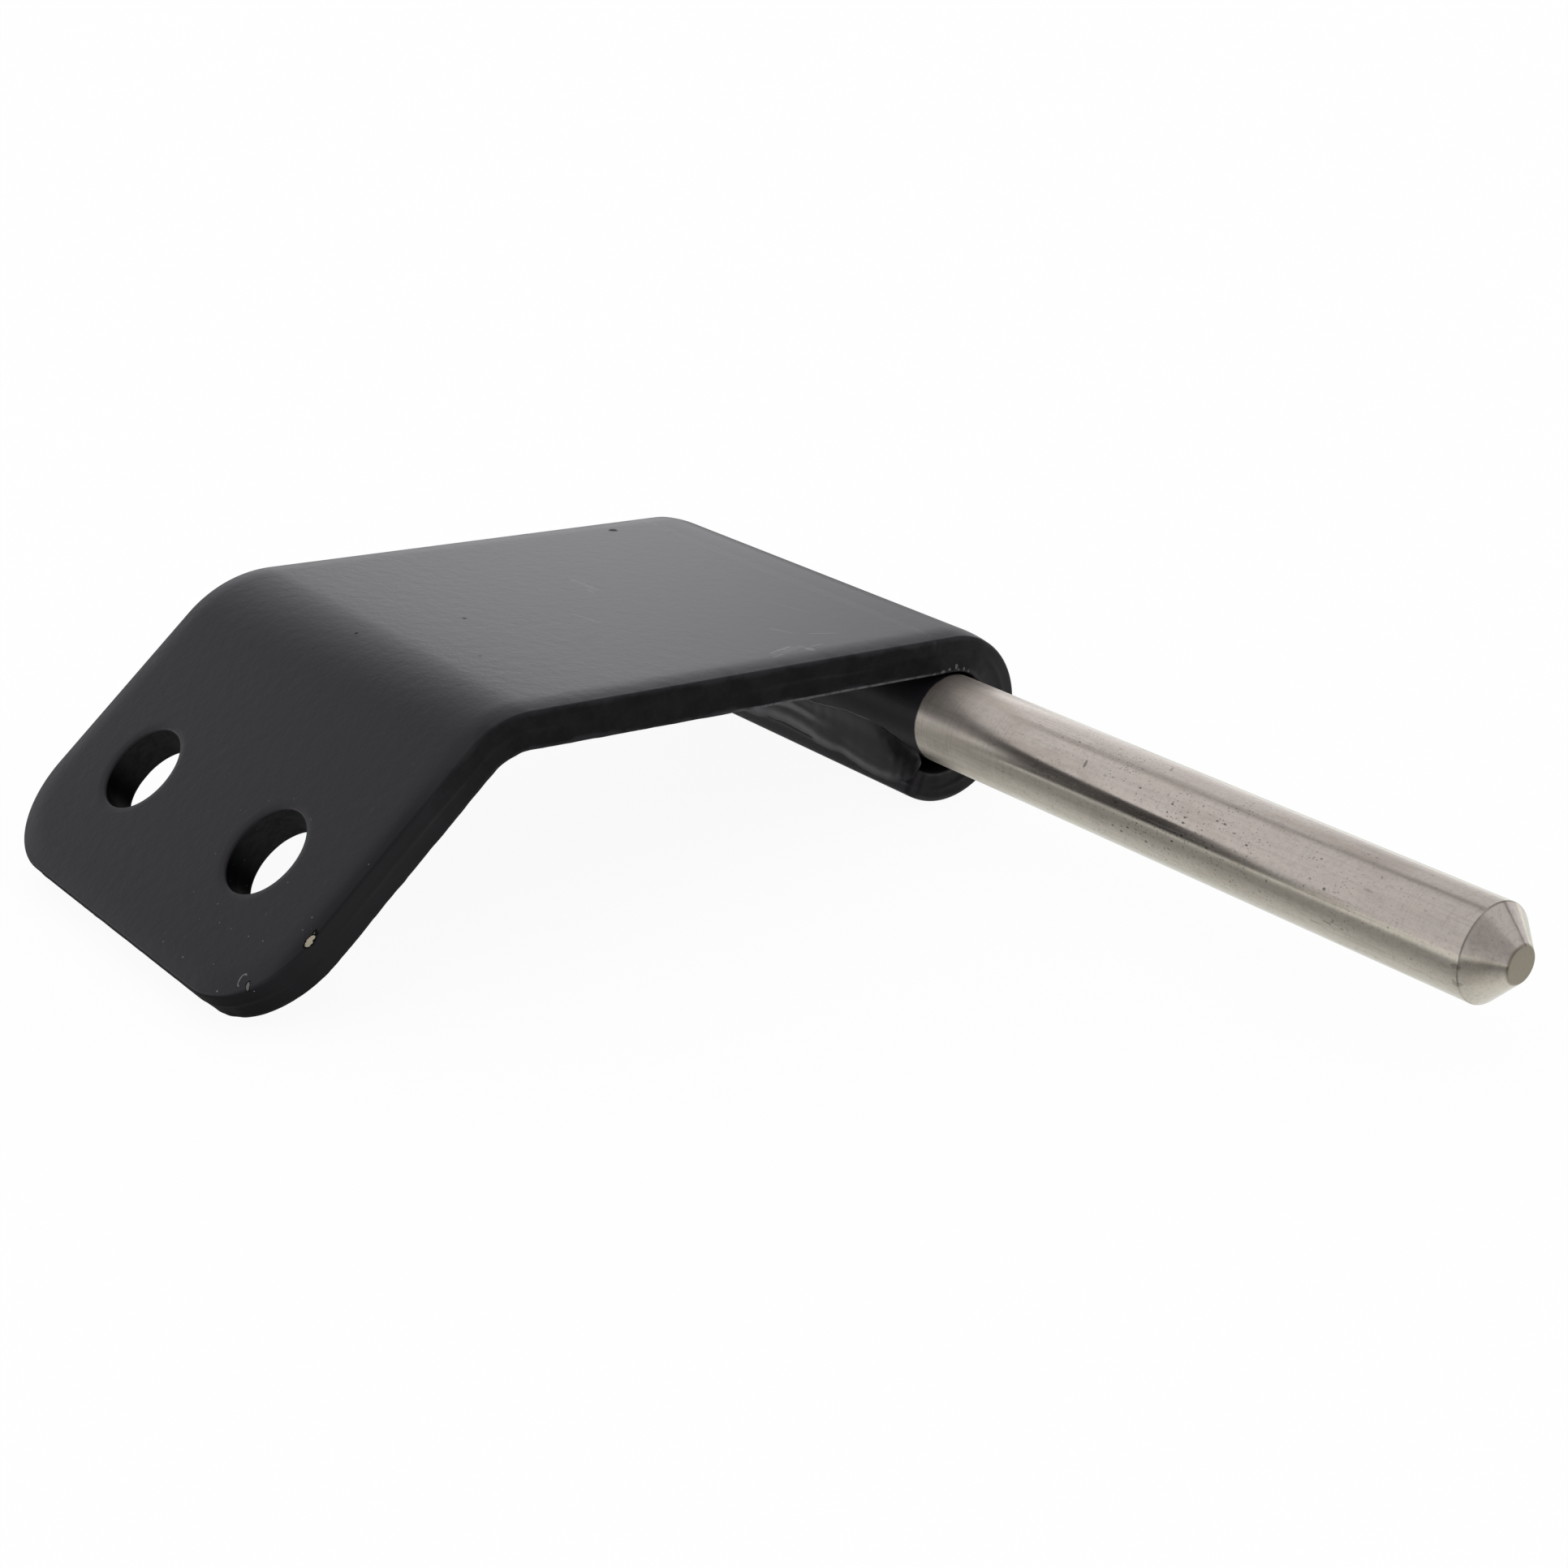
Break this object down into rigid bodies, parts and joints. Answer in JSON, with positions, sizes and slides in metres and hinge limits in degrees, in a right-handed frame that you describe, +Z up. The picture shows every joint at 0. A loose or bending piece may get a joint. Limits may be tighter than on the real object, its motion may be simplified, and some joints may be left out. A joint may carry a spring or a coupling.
{
  "type": "welded pin bracket",
  "caption": "Bent steel strip bracket with a holed mounting flange and a rolled hook that holds a long welded round pin with a chamfered end.",
  "frame": {"origin": "middle of the flange's back face between the two bolt holes", "axes": "+X along the pin towards its chamfered free end, +Y from the flange towards the hook, +Z up when the part stands on a level bench, on the flange's end and the underside of the hook"},
  "size_m": [0.1275, 0.0925, 0.0245],
  "materials": {
    "painted_bracket": "satin black powder coat with fine orange peel",
    "bare_pin": "bare drawn steel with fine turning marks and light pitting",
    "painted_weld": "satin black powder coat over a hand-laid weld"
  },
  "bodies": {
    "root": {"bracket": "painted_bracket", "pin": "bare_pin", "weld_bead": "painted_weld"}
  },
  "joints": []
}
